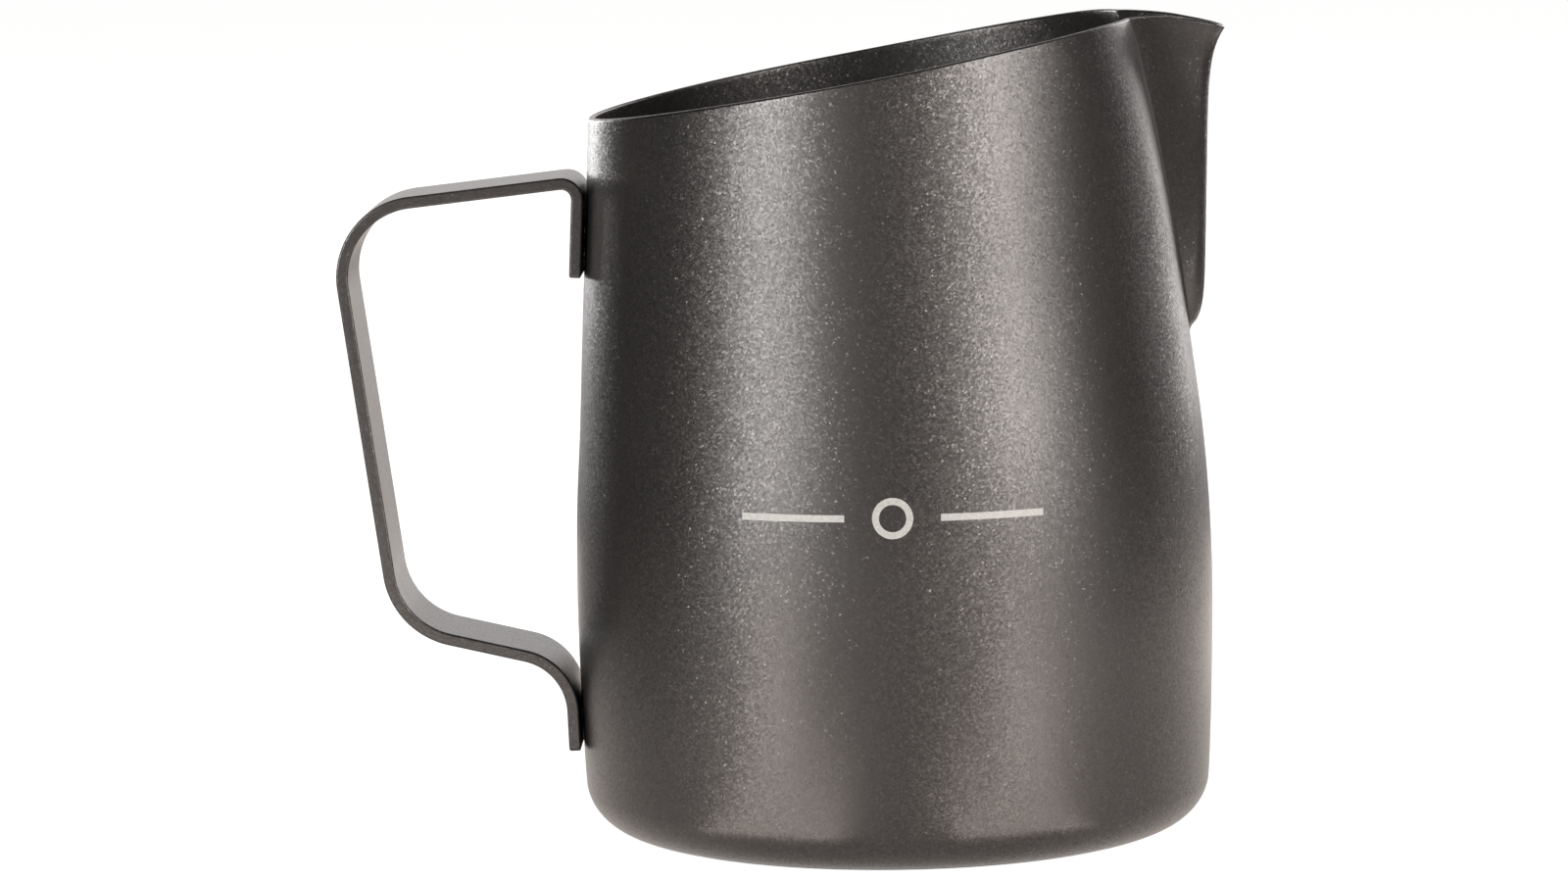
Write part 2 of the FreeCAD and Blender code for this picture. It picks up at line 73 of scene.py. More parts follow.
# keel of the spout: height, distance from the axis
KEEL = [(66, 40.3), (67.5, 41.15), (69, 41.78), (71, 42.17), (74, 42.4), (80, 42.6),
        (90, 42.87), (98, 43.13), (102, 43.5), (104.5, 44.1), (106.5, 45.05),
        (108.5, 46.6), (111, 49.2)]
# rim seen from the side: distance from the axis, height
RIM = [(-45, 95.45), (-40, 96.38), (-20, 99.88), (0, 103.3), (20, 107.05), (26.5, 108.25),
       (30, 108.78), (33, 109.0), (37.8, 108.8), (41, 108.3), (43.5, 107.8), (46, 107.15)]

# handle: corners of the strip's centre line, the radius of each bend, the strip's
# thickness, width and edge radius, and the rounding of its free ends
STRAP_CORNERS = [(-43.37, 11.3), (-43.73, 22.95), (-66.95, 28.4), (-74.45, 84.65),
                 (-41.40, 88.2), (-42.03, 75.3)]
STRAP_RADII = [8.1, 10.4, 10.2, 2.1]
STRAP_THICK, STRAP_WIDTH, STRAP_EDGE = 1.6, 16.7, 0.3
STRAP_END = 0.5


def smooth(stations, column, at):
    """Cubic through the stations, straight past both ends."""
    last = len(stations) - 1
    index = 0
    while index < last - 1 and at > stations[index + 1][0]:
        index += 1

    def slope(i):
        low, high = stations[max(i - 1, 0)], stations[min(i + 1, last)]
        return (high[column] - low[column]) / (high[0] - low[0])

    start, end = stations[index], stations[index + 1]
    if at < start[0]:
        return start[column] + slope(0) * (at - start[0])
    if at > end[0]:
        return end[column] + slope(last) * (at - end[0])
    span = end[0] - start[0]
    u = (at - start[0]) / span
    return (start[column] * (2 * u**3 - 3 * u**2 + 1) + end[column] * (3 * u**2 - 2 * u**3)
            + slope(index) * span * (u**3 - 2 * u**2 + u)
            + slope(index + 1) * span * (u**3 - u**2))


def smoothstep(low, high, at):
    """Soft step from 0 at low to 1 at high."""
    u = min(1.0, max(0.0, (at - low) / (high - low)))
    return u * u * (3 - 2 * u)


def wall_circle(z):
    """Centre and radius of the round wall at a height."""
    back, front = smooth(WALL, 1, z), smooth(WALL, 2, z)
    return (front - back) / 2, (front + back) / 2


# --------------------------------------------------- level sections of the sheet
WALL_STEPS = 150         # columns on half of the round wall
STRIP_STEPS = 7          # columns on the drawn-in strip, up to the weld
ROUND_STEPS = 6          # columns on the crease's rounding
SIDE_STEPS = 14          # columns on each side of the spout
KEEL_STEPS = 10          # columns on half of the keel's round
SUPPORT = 1.2            # place of the columns beside the rounding, in its reaches


def polar(centre, radius, angle):
    """Point on a circle."""
    return np.array([centre[0] + radius * math.cos(angle), centre[1] + radius * math.sin(angle)])


def angle_of(vector):
    """Direction of a plane vector, in radians."""
    return math.atan2(vector[1], vector[0])


def strip_stops(length):
    """Distances from the crease of the columns between wall and crease."""
    far, near = min(SEAM_FAR, 0.8 * length), min(SEAM_NEAR, 0.5 * length)
    open_part = [length + (far - length) * k / STRIP_STEPS for k in range(STRIP_STEPS + 1)]
    first = min(CREASE_ROUND, 0.3 * length)
    return open_part + [(far + near) / 2, near, SUPPORT * first, first]


def round_section(z):
    """Half outline of the plain wall, with columns where the spout will start."""
    centre_x, radius = wall_circle(z)
    half = CREASE_HALF
    reach, support, side_end = 0.45, 0.5, half * 0.5
    stops = [half + distance for distance in strip_stops(STRIP_ROOT)]
    stops += [half + reach * (1 - 2 * k / ROUND_STEPS) for k in range(1, ROUND_STEPS + 1)]
    stops.append(half - support)
    stops += [stops[-1] + (side_end - stops[-1]) * k / SIDE_STEPS
              for k in range(1, SIDE_STEPS + 1)]
    stops += [side_end * (1 - k / KEEL_STEPS) for k in range(1, KEEL_STEPS + 1)]
    first = math.asin(stops[0] / radius)
    angles = [math.pi + (first - math.pi) * k / WALL_STEPS for k in range(WALL_STEPS)]
    angles += [math.asin(stop / radius) for stop in stops]
    return np.array([polar((centre_x, 0), radius, a) for a in angles])


def spout_section(z):
    """Half outline through the round wall, drawn-in strip, spout side and keel."""
    rise = z - ROOT
    centre_x, radius = wall_circle(z)
    centre = np.array([centre_x, 0.0])
    half = CREASE_HALF + CREASE_SPREAD * rise
    drawn_in = CREASE_DRAWN * rise**2
    crease = np.array([centre_x + math.sqrt(radius**2 - half**2) - drawn_in, half])

    # strip: tangent to the wall where it starts, and through the crease
    start = math.asin((half + STRIP_ROOT + STRIP_SPREAD * rise) / radius)
    outward = polar((0, 0), 1, start)
    leave = centre + radius * outward
    gap = leave - crease
    strip_radius = gap.dot(gap) / (2 * gap.dot(outward))
    strip_centre = leave - strip_radius * outward
    strip_end = angle_of(crease - strip_centre)
    turn = start - strip_end
    length = abs(turn * strip_radius)

    # keel round, met by the side along its own tangent
    keel_radius = min(KEEL_RADIUS, 0.93 * half)
    keel_centre = np.array([smooth(KEEL, 1, z) - keel_radius, 0.0])
    mouth = max(0.0, min(1.0, (rise - FLARE_START) / FLARE_RUN))
    curl = math.radians(SIDE_CURL + MOUTH_CURL * mouth)
    low, high = math.radians(15), math.radians(100)
    for _ in range(40):
        touch_angle = (low + high) / 2
        touch = polar(keel_centre, keel_radius, touch_angle)
        if touch_angle - math.pi / 2 - angle_of(touch - crease) - curl < 0:
            low = touch_angle
        else:
            high = touch_angle
    side_normal = polar((0, 0), 1, touch_angle)
    reach = crease - touch
    side_radius = reach.dot(reach) / (2 * reach.dot(side_normal))
    side_centre = touch + side_radius * side_normal
    side_start = angle_of(crease - side_centre)
    side_turn = angle_of(touch - side_centre) - side_start
    side_turn = (side_turn + math.pi) % (2 * math.pi) - math.pi
    side_length = abs(side_turn) * side_radius

    def on_strip(distance):
        return polar(strip_centre, strip_radius, strip_end + turn * distance / length)

    def on_side(distance):
        return polar(side_centre, side_radius, side_start + side_turn * distance / side_length)

    points = [polar(centre, radius, math.pi + (start - math.pi) * k / WALL_STEPS)
              for k in range(WALL_STEPS)]
    points += [on_strip(distance) for distance in strip_stops(length)]
    side_first = min(CREASE_ROUND, 0.3 * side_length)
    before, after = points[-1], on_side(side_first)
    for k in range(1, ROUND_STEPS + 1):
        u = k / ROUND_STEPS
        points.append((1 - u) ** 2 * before + 2 * u * (1 - u) * crease + u * u * after)
    beside = SUPPORT * side_first
    points.append(on_side(beside))
    points += [on_side(beside + (side_length - beside) * k / SIDE_STEPS)
               for k in range(1, SIDE_STEPS + 1)]
    points += [polar(keel_centre, keel_radius, touch_angle * (1 - k / KEEL_STEPS))
               for k in range(1, KEEL_STEPS + 1)]
    return np.array(points)


def half_section(z):
    """Half outline at any height; the spout grows out of the wall over 2 mm at its root."""
    share = smoothstep(ROOT - 0.2, ROOT + 1.8, z)
    if share == 0:
        return round_section(z)
    grown = spout_section(max(z, ROOT + 0.3))
    return grown if share == 1 else (1 - share) * round_section(z) + share * grown


def sections(z):
    """Outer and inner outlines right round, at one height."""
    half = half_section(z)
    whole = np.vstack([half * [1, -1], half[-2:0:-1]])
    along = np.roll(whole, -1, axis=0) - np.roll(whole, 1, axis=0)
    normal = np.stack([along[:, 1], -along[:, 0]], axis=1)
    normal /= np.linalg.norm(normal, axis=1, keepdims=True)
    return whole, whole - SHEET * normal


# ------------------------------------------------------------ the sheet as a grid
# The skin is 0 for the outside of the sheet and 1 for its inside.
COLUMNS = len(sections(80.0)[0])
SEAM_LEFT = WALL_STEPS + STRIP_STEPS        # column of the weld's outer edge
SEAM_RIGHT = SEAM_LEFT + 2
FLAT_SHARES = [0.02, 0.2, 0.4, 0.6, 0.75, 0.85, 0.93]     # rows on the flat base
CORNER_STEPS = 14        # rows on the corner between base and wall
EDGE_STEPS = 8           # steps over the rounded rim edge
LOWER = [6.5 + 1.5 * k for k in range(1, 39)] + [64.4, 64.8, SEAM_FOOT, 65.25, 65.5, 65.75]
# rows above the root, as shares of the way to the rim: close at first, then even
SHARES = [0.006 * k for k in range(9)] + [0.048 + 0.952 * k / 64 for k in range(1, 65)]
TABLE_TOP, TABLE_STEP = 112.0, 0.25         # heights at which sections are worked out


def corner_rows(skin, floor, radius):
    """Rows of the flat base and its rounded corner, from the middle outwards."""
    rows = []
    rim_of_flat = sections(floor)[skin]
    for share in FLAT_SHARES:
        scale = share * (1 - radius / BASE_RADIUS)
        rows.append(np.column_stack([rim_of_flat * scale, np.full(COLUMNS, floor)]))
    for k in range(CORNER_STEPS):
        turn = math.pi / 2 * k / CORNER_STEPS
        z = floor + radius * (1 - math.cos(turn))
        outline = sections(z)[skin]
        distance = np.linalg.norm(outline, axis=1, keepdims=True)
        shrink = 1 - radius * (1 - math.sin(turn)) / distance
        rows.append(np.column_stack([outline * shrink, np.full(COLUMNS, z)]))
    return rows


def level_rows(skin, heights):
    """Rows at even heights, below the spout."""
    return [np.column_stack([sections(z)[skin], np.full(COLUMNS, z)]) for z in heights]


def upper_rows(skin, shares):
    """Rows from the spout's root to the rim, leaning more and more like the rim."""
    heights = np.arange(ROOT, TABLE_TOP + 0.01, TABLE_STEP)
    table = np.array([sections(z)[skin] for z in heights])
    gap = np.array([[z - smooth(RIM, 1, x) for x in row[:, 0]] for z, row in zip(heights, table)])
    top = np.empty(COLUMNS)
    for column in range(COLUMNS):
        k = int(np.argmax(gap[:, column] > 0))
        low, high = gap[k - 1, column], gap[k, column]
        top[column] = heights[k - 1] + TABLE_STEP * low / (low - high)
    top -= EDGE
    columns = np.arange(COLUMNS)
    rows = []
    for share in shares:
        z = ROOT + (top - ROOT) * share
        place = (z - ROOT) / TABLE_STEP
        k = np.minimum(place.astype(int), len(heights) - 2)
        part = (place - k)[:, None]
        xy = table[k, columns] * (1 - part) + table[k + 1, columns] * part
        rows.append(np.column_stack([xy, z]))
    return rows


def vessel_grid():
    """Every point of the sheet: up the outside, over the rim, down the inside."""
    outside = corner_rows(0, 0.0, BASE_CORNER) + level_rows(0, LOWER) + upper_rows(0, SHARES)
    inside = (corner_rows(1, SHEET, BASE_CORNER - SHEET) + level_rows(1, LOWER)
              + upper_rows(1, SHARES))
    middle = (outside[-1] + inside[-1]) / 2
    reach = (outside[-1] - inside[-1]) / 2
    edge = []
    for k in range(1, EDGE_STEPS):
        turn = math.pi * k / EDGE_STEPS
        edge.append(middle + reach * math.cos(turn) + np.array([0, 0, EDGE * math.sin(turn)]))
    return np.array(outside + edge + inside[::-1]), len(outside)


def grid_normals(grid):
    """Unit normal at each point from its neighbours along both directions."""
    across = np.roll(grid, -1, axis=1) - np.roll(grid, 1, axis=1)
    along = np.empty_like(grid)
    along[1:-1] = grid[2:] - grid[:-2]
    along[0] = grid[1] - grid[0]
    along[-1] = grid[-1] - grid[-2]
    normal = np.cross(across, along)
    return normal / np.maximum(np.linalg.norm(normal, axis=2, keepdims=True), 1e-12)


def grid_piece(name, grid, normals, keep, capped=False):
    """A mesh of the kept cells of a grid that is closed round its columns."""
    rows, columns = keep.shape
    used = np.full(grid.shape[:2], -1)
    faces = []
    for i, j in zip(*np.nonzero(keep)):
        right = (j + 1) % columns
        faces.append([(i, j), (i, right), (i + 1, right), (i + 1, j)])
    corners = sorted({corner for face in faces for corner in face})
    for index, corner in enumerate(corners):
        used[corner] = index
    points = [Vector(grid[corner] * MM) for corner in corners]
    shading = [tuple(normals[corner]) for corner in corners]
    polygons = [[int(used[corner]) for corner in face] for face in faces]
    if capped:
        polygons.append([int(k) for k in used[0, ::-1]])
        polygons.append([int(k) for k in used[rows]])
    mesh = bpy.data.meshes.new(name)
    mesh.from_pydata(points, [], polygons)
    mesh.polygons.foreach_set("use_smooth", [True] * len(mesh.polygons))
    mesh.normals_split_custom_set_from_vertices(shading)
    piece = bpy.data.objects.new(name, mesh)
    bpy.context.scene.collection.objects.link(piece)
    return piece


def make_vessel():
    """Vessel, weld and spout as three pieces of the one grid."""
    grid, outer_rows = vessel_grid()
    rows = len(grid)
    foot_row = len(FLAT_SHARES) + CORNER_STEPS + LOWER.index(SEAM_FOOT)
    spout_row = foot_row + 2
    normals = grid_normals(grid)
    for column in (SEAM_LEFT + 1, COLUMNS - SEAM_LEFT - 1):
        line = slice(spout_row, outer_rows), column
        grid[line] -= SEAM_DIP * normals[line]
    normals = grid_normals(grid)
    normals[0] = [0, 0, -1]
    normals[-1] = [0, 0, 1]

    def region(left, start):
        """Cells between two mirrored columns, above a row on both skins."""
        keep = np.zeros((rows - 1, COLUMNS), bool)
        keep[start:rows - 1 - start, left:COLUMNS - left] = True
        return keep

    spout_part = region(SEAM_RIGHT, spout_row)
    seam_part = region(SEAM_LEFT, foot_row) & ~spout_part
    wall_part = ~(spout_part | seam_part)
    wall = grid_piece("vessel_wall", grid, normals, wall_part, capped=True)
    seam = grid_piece("spout_seam", grid, normals, seam_part)
    spout = grid_piece("spout_pressing", grid, normals, spout_part)
    return wall, seam, spout


# ------------------------------------------------------------------- the handle
BEND_STEP, RUN_STEP = 0.6, 3.0     # spacing of the sections on bends and straight runs


def strap_path():
    """Points along the strip's centre line, in the plane Y = 0."""
    corners = [np.array(c, float) for c in STRAP_CORNERS]
    places = [corners[0]]
    for before, corner, after, radius in zip(corners, corners[1:], corners[2:], STRAP_RADII):
        back = (before - corner) / np.linalg.norm(before - corner)
        on = (after - corner) / np.linalg.norm(after - corner)
        half = math.acos(back.dot(on)) / 2
        middle = (back + on) / np.linalg.norm(back + on)
        centre = corner + middle * radius / math.sin(half)
        first = corner + back * radius / math.tan(half)
        last = corner + on * radius / math.tan(half)
        start, end = angle_of(first - centre), angle_of(last - centre)
        turn = (end - start + math.pi) % (2 * math.pi) - math.pi
        steps = max(8, int(abs(turn) * radius / BEND_STEP))
        places += [polar(centre, radius, start + turn * k / steps) for k in range(steps + 1)]
    places.append(corners[-1])
    line = [places[0]]
    for place in places[1:]:
        gap = np.linalg.norm(place - line[-1])
        parts = max(1, int(gap / RUN_STEP))
        start = line[-1]
        line += [start + (place - start) * k / parts for k in range(1, parts + 1)]
    return np.array(line)


def strap_outline(steps=5):
    """Rounded rectangle: thickness and width, the corners turned by small arcs."""
    outline = []
    for k, (side, end) in enumerate([(1, 1), (-1, 1), (-1, -1), (1, -1)]):
        centre = (side * (STRAP_THICK / 2 - STRAP_EDGE), end * (STRAP_WIDTH / 2 - STRAP_EDGE))
        for step in range(steps + 1):
            outline.append(polar(centre, STRAP_EDGE, math.pi / 2 * (k + step / steps)))
    return np.array(outline)


def make_strap():
    """The bent strip as one closed mesh, its free ends slightly rounded."""
    line = strap_path()
    along = np.gradient(line, axis=0)
    along /= np.linalg.norm(along, axis=1, keepdims=True)
    outline = strap_outline()
    rows = []

    def add_row(place, direction, inset):
        """One section; inset shrinks it, mostly in width, towards a free end."""
        side = np.array([direction[1], -direction[0]])
        thick = outline[:, 0] * (1 - 0.4 * inset / (STRAP_THICK / 2))
        wide = outline[:, 1] * (1 - inset / (STRAP_WIDTH / 2))
        x = place[0] + side[0] * thick
        z = place[1] + side[1] * thick
        rows.append(np.column_stack([x, wide, z]))

    turns = [math.pi / 2 * k / 5 for k in range(5)]
    ends = [(STRAP_END * (1 - math.sin(t)), STRAP_END * (1 - math.cos(t))) for t in turns]
    for inset, back in ends:
        add_row(line[0] + along[0] * back, along[0], inset)
    add_row(line[0] + along[0] * STRAP_END, along[0], 0)
    for place, direction in zip(line[1:-1], along[1:-1]):
        add_row(place, direction, 0)
    add_row(line[-1] - along[-1] * STRAP_END, along[-1], 0)
    for inset, back in reversed(ends):
        add_row(line[-1] - along[-1] * back, along[-1], inset)
    grid = np.array(rows)
    keep = np.ones((len(grid) - 1, len(outline)), bool)
    return grid_piece("strap", grid, grid_normals(grid), keep, capped=True)


# --------------------------------------------------------------------- materials
def add_node(tree, kind, **settings):
    """A shader node; settings are its properties, or its inputs by name."""
    node = tree.nodes.new(kind)
    for name, value in settings.items():
        if hasattr(node, name):
            setattr(node, name, value)
        else:
            node.inputs[name.replace("_", " ")].default_value = value
    return node


def ramp(tree, source, stops):
    """Colour ramp from (position, grey or colour) stops."""
    node = tree.nodes.new("ShaderNodeValToRGB")
    tree.links.new(source, node.inputs["Fac"])
    elements = node.color_ramp.elements
    while len(elements) < len(stops):
        elements.new(0.5)
    for element, (position, colour) in zip(elements, stops):
        rgb = colour if isinstance(colour, tuple) else (colour, colour, colour)
        element.position = position
        element.color = (*rgb, 1)
    return node.outputs["Color"]


def new_material(name):
    """A material, its node tree and its Principled shader."""
    material = bpy.data.materials.new(name)
    material.use_nodes = True
    return material, material.node_tree, material.node_tree.nodes["Principled BSDF"]


def coat_material():
    """Charcoal powder coat: sandy grain, fine metal flake, satin sheen."""
    material, tree, shader = new_material("charcoal_flake_coat")
    links = tree.links
    place = tree.nodes.new("ShaderNodeTexCoord").outputs["Object"]

    # flakes: cells of about 0.23 mm, each with its own tone and tilt
    flakes = add_node(tree, "ShaderNodeTexVoronoi", Scale=4300.0)
    links.new(place, flakes.inputs["Vector"])
    tone = tree.nodes.new("ShaderNodeSeparateColor")
    links.new(flakes.outputs["Color"], tone.inputs["Color"])
    # sand: the coat's own fine texture, a little softer and larger
    sand = add_node(tree, "ShaderNodeTexNoise", Scale=2300.0, Detail=3.0, Roughness=0.6)
    links.new(place, sand.inputs["Vector"])
    # cloud: slow drift in the coat's tone over a few centimetres
    cloud = add_node(tree, "ShaderNodeTexNoise", Scale=45.0, Detail=3.0, Roughness=0.55)
    links.new(place, cloud.inputs["Vector"])

    base = ramp(tree, tone.outputs["Red"], [
        (0.0, (0.0220, 0.0199, 0.0187)), (0.5, (0.0332, 0.0302, 0.0285)),
        (0.95, (0.0440, 0.0401, 0.0379)), (1.0, (0.058, 0.054, 0.052))])
    drift = ramp(tree, cloud.outputs["Fac"], [(0.35, 0.92), (0.65, 1.06)])
    mixed = add_node(tree, "ShaderNodeMix", data_type="RGBA", blend_type="MULTIPLY")
    mixed.inputs["Factor"].default_value = 1.0
    links.new(base, mixed.inputs["A"])
    links.new(drift, mixed.inputs["B"])
    links.new(mixed.outputs["Result"], shader.inputs["Base Color"])

    gloss = ramp(tree, tone.outputs["Green"], [(0.0, 0.33), (0.6, 0.35), (1.0, 0.38)])
    links.new(gloss, shader.inputs["Roughness"])
    shader.inputs["Metallic"].default_value = 0.8
    shader.inputs["Coat Weight"].default_value = 0.45
    shader.inputs["Coat Roughness"].default_value = 0.36
    shader.inputs["Coat IOR"].default_value = 1.5

    # tilt of each flake, on top of the sand's bumps
    bumps = add_node(tree, "ShaderNodeBump", Strength=0.09, Distance=0.0001)
    links.new(sand.outputs["Fac"], bumps.inputs["Height"])
    centred = add_node(tree, "ShaderNodeVectorMath", operation="SUBTRACT")
    centred.inputs[1].default_value = (0.5, 0.5, 0.5)
    links.new(flakes.outputs["Color"], centred.inputs[0])
    # a few flakes lie much less flat than the rest
    chance = add_node(tree, "ShaderNodeTexWhiteNoise")
    links.new(flakes.outputs["Color"], chance.inputs["Vector"])
    lie = ramp(tree, chance.outputs["Value"], [(0.0, 0.11), (0.7, 0.17), (1.0, 0.40)])
    tilt = add_node(tree, "ShaderNodeVectorMath", operation="SCALE")
    links.new(centred.outputs["Vector"], tilt.inputs[0])
    links.new(lie, tilt.inputs["Scale"])
    turned = add_node(tree, "ShaderNodeVectorMath", operation="ADD")
    links.new(bumps.outputs["Normal"], turned.inputs[0])
    links.new(tilt.outputs["Vector"], turned.inputs[1])
    normal = add_node(tree, "ShaderNodeVectorMath", operation="NORMALIZE")
    links.new(turned.outputs["Vector"], normal.inputs[0])
    links.new(normal.outputs["Vector"], shader.inputs["Normal"])
    return material


def print_material():
    """Pale warm grey print with a fine matt grain of its own."""
    material, tree, shader = new_material("pale_print")
    place = tree.nodes.new("ShaderNodeTexCoord").outputs["Object"]
    grain = add_node(tree, "ShaderNodeTexNoise", Scale=2600.0, Detail=2.0)
    tree.links.new(place, grain.inputs["Vector"])
    tone = ramp(tree, grain.outputs["Fac"], [
        (0.3, (0.221, 0.212, 0.197)), (0.7, (0.287, 0.276, 0.257))])
    tree.links.new(tone, shader.inputs["Base Color"])
    shader.inputs["Roughness"].default_value = 0.5
    bumps = add_node(tree, "ShaderNodeBump", Strength=0.1, Distance=0.0001)
    tree.links.new(grain.outputs["Fac"], bumps.inputs["Height"])
    tree.links.new(bumps.outputs["Normal"], shader.inputs["Normal"])
    return material


def steel_material():
    """Bare fused steel of the weld nuggets."""
    material, tree, shader = new_material("weld_steel")
    place = tree.nodes.new("ShaderNodeTexCoord").outputs["Object"]
    grain = add_node(tree, "ShaderNodeTexNoise", Scale=1800.0, Detail=3.0)
    tree.links.new(place, grain.inputs["Vector"])
    tone = ramp(tree, grain.outputs["Fac"], [
        (0.3, (0.30, 0.29, 0.28)), (0.7, (0.44, 0.43, 0.42))])
    tree.links.new(tone, shader.inputs["Base Color"])
    gloss = ramp(tree, grain.outputs["Fac"], [(0.3, 0.42), (0.7, 0.52)])
    tree.links.new(gloss, shader.inputs["Roughness"])
    shader.inputs["Metallic"].default_value = 1.0
    return material


def paint_node(node, material):
    """Give its material to a CAD node that stays in the picture."""
    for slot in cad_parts[node].material_slots:
        slot.material = material


coat = coat_material()
wall, seam, spout = make_vessel()
strap = make_strap()
for piece, node in ((wall, "vessel"), (seam, "spout_weld_seam"), (spout, "spout"),
                    (strap, "handle_strap")):
    piece.data.materials.append(coat)
    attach(piece, "root")
    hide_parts(node)
paint_node("front_print", print_material())
steel = steel_material()
paint_node("lower_handle_welds", steel)
paint_node("upper_handle_welds", steel)


# ------------------------------------------------------------------ floor, light
# Sizes are in metres from here on; azimuths are in degrees, 0 towards the camera.
WHITE = (1.0, 1.0, 1.0)
WARM_CARD = (1.07, 0.97, 0.90)
WARM_LIGHT = (1.0, 0.967, 0.95)
FLOOR_HALF, FLOOR_TONE, FLOOR_GLOW = 6.0, 0.22, 0.93


def staged(name, points, faces, material):
    """A mesh that belongs to the studio, not to the pitcher."""
    mesh = bpy.data.meshes.new(name)
    mesh.from_pydata(points, [], faces)
    mesh.materials.append(material)
    piece = bpy.data.objects.new(name, mesh)
    bpy.context.scene.collection.objects.link(piece)
    return piece


def glow_material(name, grey, strength, tint):
    """Matt material that also gives off its own light."""
    material, _, shader = new_material(name)
    shader.inputs["Base Color"].default_value = (grey, grey, grey, 1)
    shader.inputs["Roughness"].default_value = 1.0
    shader.inputs["Emission Color"].default_value = (*tint, 1)
    shader.inputs["Emission Strength"].default_value = strength
    return material


def make_floor():
    """The plain pale floor; the coat reflects the studio cards over it instead."""
    side = FLOOR_HALF
    corners = [(-side, -side, 0), (side, -side, 0), (side, side, 0), (-side, side, 0)]
    pale = glow_material("pale_floor", FLOOR_TONE, FLOOR_GLOW, WHITE)
    floor = staged("studio_floor", corners, [(0, 1, 2, 3)], pale)
    floor.visible_glossy = False


# Studio cards on the floor round the pitcher, each a sector: from and to radius,
# from and to azimuth, brightness.
CARD_HEIGHT = 0.0004
CELL_TURN = 5            # largest turn of one cell, in degrees
CARDS = [
    (0.03, 0.12, -180, 180, 0.85), (0.12, 0.3, -60, 60, 0.71), (0.12, 0.3, -150, -60, 0.39),
    (0.12, 0.3, 60, 150, 1.3), (0.12, 0.3, 150, 210, 1.6), (0.3, 1.2, -40, 40, 1.28),
    (0.3, 1.2, 160, 200, 0.56), (1.2, 5.0, 90, 270, 0.68),
    # the light boxes' own images in the floor
    (0.047, 0.1, -44, -12, 3.05), (0.1, 0.25, -44, -31, 6.54), (0.1, 0.25, -70, -57, 0.64),
    (0.6, 1.5, -70, -57, 5.25), (0.047, 0.1, 12, 44, 2.65), (0.1, 0.25, 31, 44, 6.55),
    (0.1, 0.25, 44, 57, 2.03), (0.1, 0.25, 57, 70, 0.38), (0.6, 1.5, 12, 31, 4.70),
]


def make_cards():
    """Flat rings of cells, each as bright as all the cards that cover it."""
    rings = sorted({radius for card in CARDS for radius in card[:2]})
    edges = {angle % 360 for card in CARDS for angle in card[2:4]}
    turns = sorted(edges | set(range(0, 360, CELL_TURN)))
    cells = {}
    for inner, outer in zip(rings, rings[1:]):
        for start, end in zip(turns, turns[1:] + [turns[0] + 360]):
            middle = (start + end) / 2
            glow = sum(card[4] for card in CARDS if card[0] <= inner and outer <= card[1]
                       and (middle - card[2]) % 360 < card[3] - card[2])
            cells.setdefault(round(glow, 3), []).append((inner, outer, start, end))
    for index, (glow, group) in enumerate(sorted(cells.items())):
        points = []
        for inner, outer, start, end in group:
            for radius, angle in ((inner, start), (outer, start), (outer, end), (inner, end)):
                turn = math.radians(angle)
                points.append((radius * math.sin(turn), -radius * math.cos(turn), CARD_HEIGHT))
        faces = [(k, k + 1, k + 2, k + 3) for k in range(0, len(points), 4)]
        name = "studio_card_%02d" % index
        card = staged(name, points, faces, glow_material(name, 0.0, glow, WARM_CARD))
        card.visible_camera = False
        card.visible_diffuse = False
        card.visible_shadow = False


# soft boxes: azimuth, elevation, distance, width, height, watts, tint
LIGHTS = {
    "left_box": (-38, 15, 1.5, 0.3, 0.35, 17.8, WHITE),
    "left_wing": (-50, 6, 1.5, 0.3, 0.45, 8.0, WHITE),
    "right_box": (38, 17, 1.5, 0.3, 0.35, 12.7, WARM_LIGHT),
    "right_wing": (50, 10, 1.5, 0.3, 0.5, 11.2, WARM_LIGHT),
    "right_far": (65, 12, 1.5, 0.3, 0.6, 3.9, WARM_LIGHT),
    "left_rim": (-150, 5, 1.5, 0.3, 0.5, 4.3, WHITE),
    "right_side": (124, 8, 1.5, 0.4, 0.5, 0.6, WARM_LIGHT),
    "right_rim": (149, 5, 1.5, 0.5, 0.5, 3.7, WARM_LIGHT),
    "right_rim_high": (137, 24, 1.5, 0.3, 0.5, 3.6, WARM_LIGHT),
    "backdrop_glow": (180, 14, 1.6, 1.6, 0.7, 4.2, WARM_LIGHT),
    "top_back": (180, 50, 1.5, 1.2, 0.4, 3.0, WARM_LIGHT),
}
LIGHT_TARGET = Vector((0, 0, 0.055))        # the middle of the pitcher


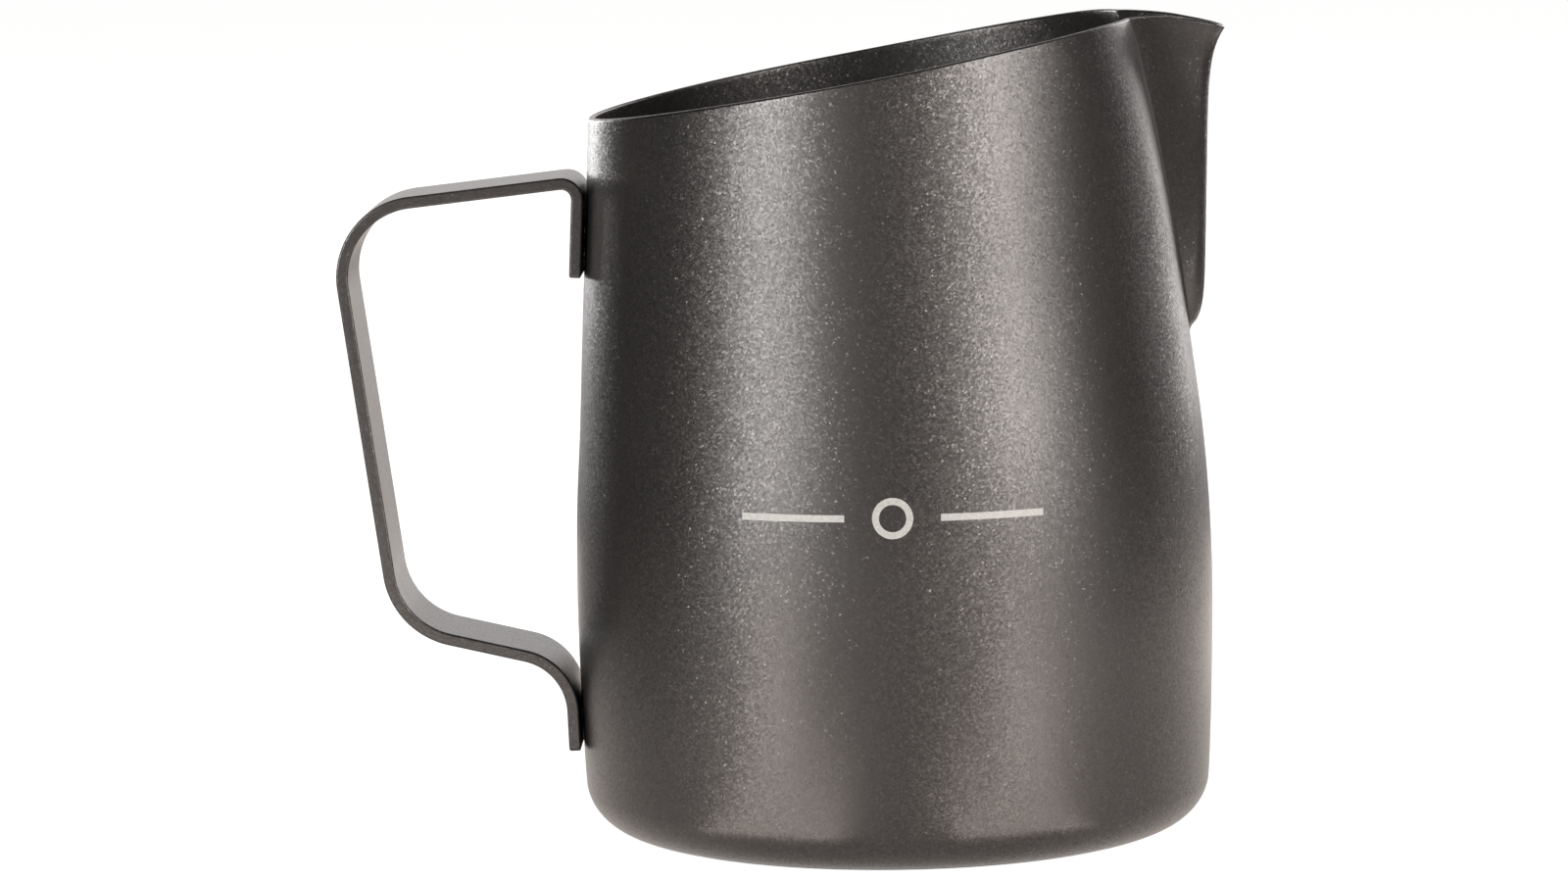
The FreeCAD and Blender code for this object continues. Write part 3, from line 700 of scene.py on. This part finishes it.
def area_light(name, azimuth, elevation, distance, width, height, watts, tint):
    """A soft box that faces the pitcher."""
    data = bpy.data.lights.new(name, "AREA")
    data.shape = "RECTANGLE"
    data.size, data.size_y = width, height
    data.energy = watts
    data.color = tint
    light = bpy.data.objects.new(name, data)
    turn, lift = math.radians(azimuth), math.radians(elevation)
    offset = Vector((math.sin(turn) * math.cos(lift), -math.cos(turn) * math.cos(lift),
                     math.sin(lift)))
    light.location = LIGHT_TARGET + offset * distance
    light.rotation_euler = (-offset).to_track_quat("-Z", "Y").to_euler()
    bpy.context.scene.collection.objects.link(light)


make_floor()
make_cards()
for light_name, setting in LIGHTS.items():
    area_light(light_name, *setting)

world = bpy.data.worlds.new("studio")
world.use_nodes = True
world.node_tree.nodes["Background"].inputs["Color"].default_value = (1, 1, 1, 1)
world.node_tree.nodes["Background"].inputs["Strength"].default_value = 0.005
bpy.context.scene.world = world


# ------------------------------------------------------------------------ camera
CAMERA_PLACE = (0.002382, -0.779283, 0.147536)
CAMERA_TURNS = (-1.253, 6.987, -1.017)      # degrees to the right, down, and of roll
CAMERA_SENSOR, CAMERA_LENS = 36, 133.29     # millimetres


def make_camera():
    """A little above the rim, looking slightly down, the handle on the left."""
    data = bpy.data.cameras.new("camera")
    data.sensor_width = CAMERA_SENSOR
    data.lens = CAMERA_LENS
    data.clip_end = 50
    camera = bpy.data.objects.new("camera", data)
    yaw, pitch, roll = (math.radians(turn) for turn in CAMERA_TURNS)
    ahead = Vector((math.sin(yaw) * math.cos(pitch), math.cos(yaw) * math.cos(pitch),
                    -math.sin(pitch)))
    level = Vector((math.cos(yaw), -math.sin(yaw), 0))
    upright = level.cross(ahead)
    right = math.cos(roll) * level + math.sin(roll) * upright
    up = -math.sin(roll) * level + math.cos(roll) * upright
    turn = Matrix((right, up, -ahead)).transposed().to_4x4()
    camera.matrix_world = Matrix.Translation(CAMERA_PLACE) @ turn
    bpy.context.scene.collection.objects.link(camera)
    bpy.context.scene.camera = camera


make_camera()
bpy.context.scene.view_settings.view_transform = "Standard"
